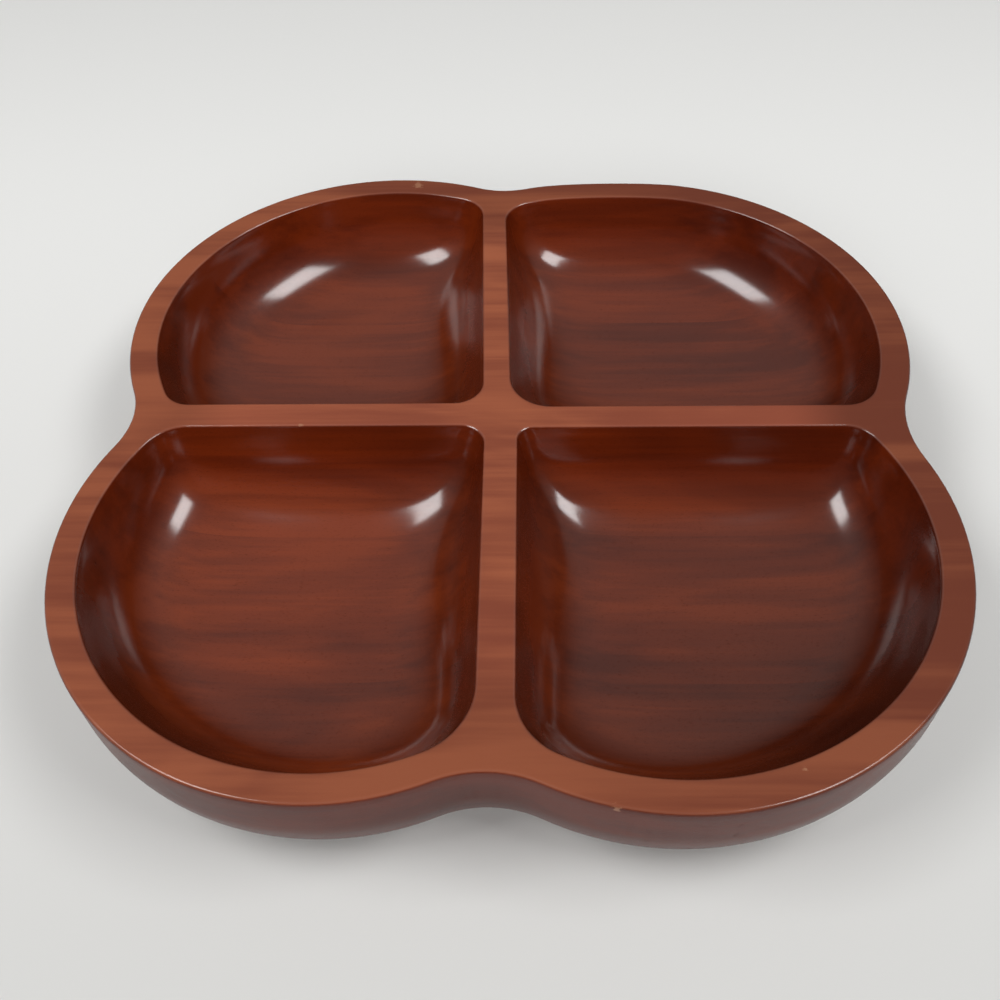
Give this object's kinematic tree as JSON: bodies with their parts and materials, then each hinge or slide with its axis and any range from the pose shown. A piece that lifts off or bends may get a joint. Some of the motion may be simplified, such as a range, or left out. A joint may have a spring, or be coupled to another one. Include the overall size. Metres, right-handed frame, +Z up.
{
  "type": "divided serving bowl",
  "caption": "Carved hardwood serving bowl in a four-lobed clover shape, with a cross of dividers parting the rounded compartments and a flat base to rest on.",
  "frame": {"origin": "middle of the flat base, on the surface the bowl rests on, at the centre of the square that the lobes touch", "axes": "+Z up out of the compartments, +X to the right along the grain, +Y to the back; the two lobes nearest the viewer are at -Y"},
  "size_m": [0.33, 0.33, 0.052],
  "materials": {
    "lacquered_hardwood": "red-brown stained hardwood under satin-gloss clear lacquer, grain running left to right"
  },
  "bodies": {
    "root": {"front_board": "lacquered_hardwood", "front_middle_board": "lacquered_hardwood", "middle_board": "lacquered_hardwood", "back_middle_board": "lacquered_hardwood", "back_board": "lacquered_hardwood"}
  },
  "joints": []
}
